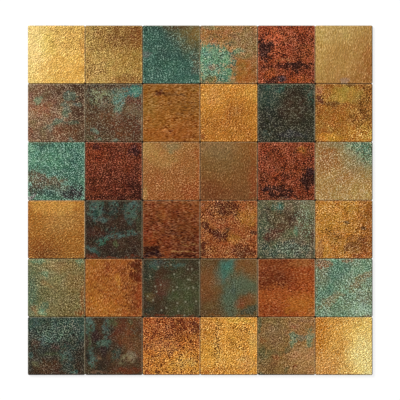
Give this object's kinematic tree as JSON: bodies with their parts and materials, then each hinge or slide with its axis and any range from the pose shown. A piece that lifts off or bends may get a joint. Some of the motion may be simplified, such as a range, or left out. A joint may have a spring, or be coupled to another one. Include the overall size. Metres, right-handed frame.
{
  "type": "self-adhesive mosaic tile",
  "caption": "Flat square mosaic sheet: thin embossed chips with patina finishes, rolled edges and narrow joints, bedded on a self-adhesive backing.",
  "frame": {"origin": "middle of the backing's underside, the adhesive face that the sheet lies on", "axes": "+Z out of the face, +Y along the longer side towards row 1, +X along a row towards column 6"},
  "size_m": [0.3, 0.3042, 0.004],
  "materials": {
    "pale_gold": "satin",
    "khaki_bronze": "satin",
    "amber_bronze": "satin",
    "tan_copper": "satin",
    "rust_red": "satin",
    "verdigris": "satin",
    "umber_brown": "satin",
    "dark_patina": "satin",
    "adhesive": "matte"
  },
  "bodies": {
    "root": {"adhesive_backing": "adhesive", "chip_r1_c1": "pale_gold", "chip_r1_c2": "khaki_bronze", "chip_r1_c3": "verdigris", "chip_r1_c4": "tan_copper", "chip_r1_c5": "rust_red", "chip_r1_c6": "khaki_bronze", "chip_r2_c1": "umber_brown", "chip_r2_c2": "umber_brown", "chip_r2_c3": "amber_bronze", "chip_r2_c4": "amber_bronze", "chip_r2_c5": "dark_patina", "chip_r2_c6": "amber_bronze", "chip_r3_c1": "verdigris", "chip_r3_c2": "rust_red", "chip_r3_c3": "tan_copper", "chip_r3_c4": "umber_brown", "chip_r3_c5": "rust_red", "chip_r3_c6": "khaki_bronze", "chip_r4_c1": "amber_bronze", "chip_r4_c2": "dark_patina", "chip_r4_c3": "rust_red", "chip_r4_c4": "rust_red", "chip_r4_c5": "verdigris", "chip_r4_c6": "amber_bronze", "chip_r5_c1": "khaki_bronze", "chip_r5_c2": "amber_bronze", "chip_r5_c3": "dark_patina", "chip_r5_c4": "umber_brown", "chip_r5_c5": "rust_red", "chip_r5_c6": "verdigris", "chip_r6_c1": "dark_patina", "chip_r6_c2": "dark_patina", "chip_r6_c3": "amber_bronze", "chip_r6_c4": "amber_bronze", "chip_r6_c5": "umber_brown", "chip_r6_c6": "pale_gold"}
  },
  "joints": []
}
